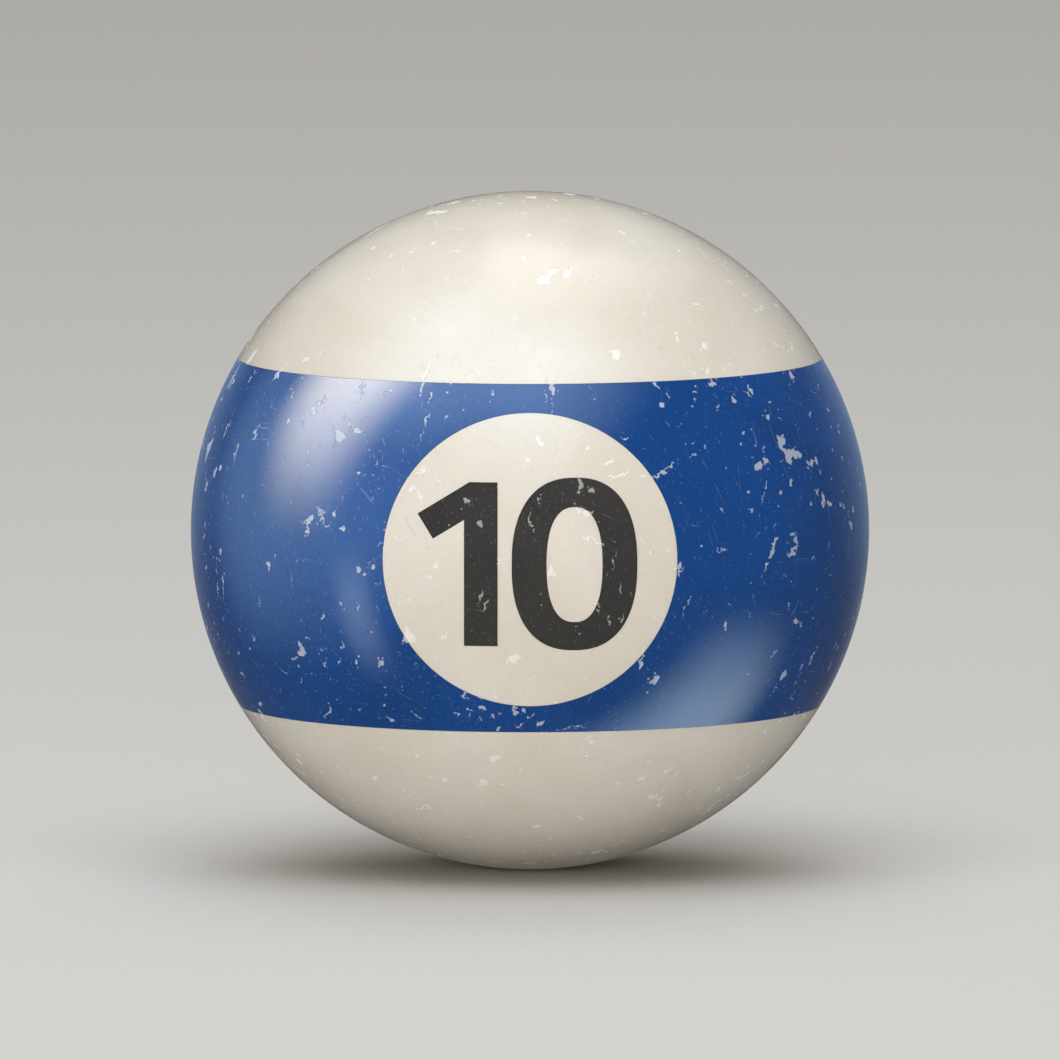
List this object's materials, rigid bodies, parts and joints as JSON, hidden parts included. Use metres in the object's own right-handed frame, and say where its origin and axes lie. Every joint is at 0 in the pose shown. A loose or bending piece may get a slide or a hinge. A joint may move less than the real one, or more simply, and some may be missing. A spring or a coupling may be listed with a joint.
{
  "type": "numbered pool ball",
  "caption": "Solid round pool ball, white with a blue band about its middle and a numbered white disc let into each side of the band.",
  "frame": {"origin": "centre of the ball", "axes": "+Z is the axis that the stripe runs round, up through the white dome above the front number; the front number faces -Y and is upright with +X on its right; the back number faces +Y and is upside down"},
  "size_m": [0.0572, 0.0572, 0.0572],
  "materials": {
    "ivory_resin": "polished cast phenolic resin, ivory white",
    "blue_resin": "polished cast phenolic resin, blue",
    "black_resin": "polished cast phenolic resin, black"
  },
  "bodies": {
    "root": {"stripe_core": "blue_resin", "upper_cap": "ivory_resin", "lower_cap": "ivory_resin", "number_plug_front": "ivory_resin", "number_plug_back": "ivory_resin", "digit_one_front": "black_resin", "digit_zero_front": "black_resin", "digit_one_back": "black_resin", "digit_zero_back": "black_resin"}
  },
  "joints": []
}
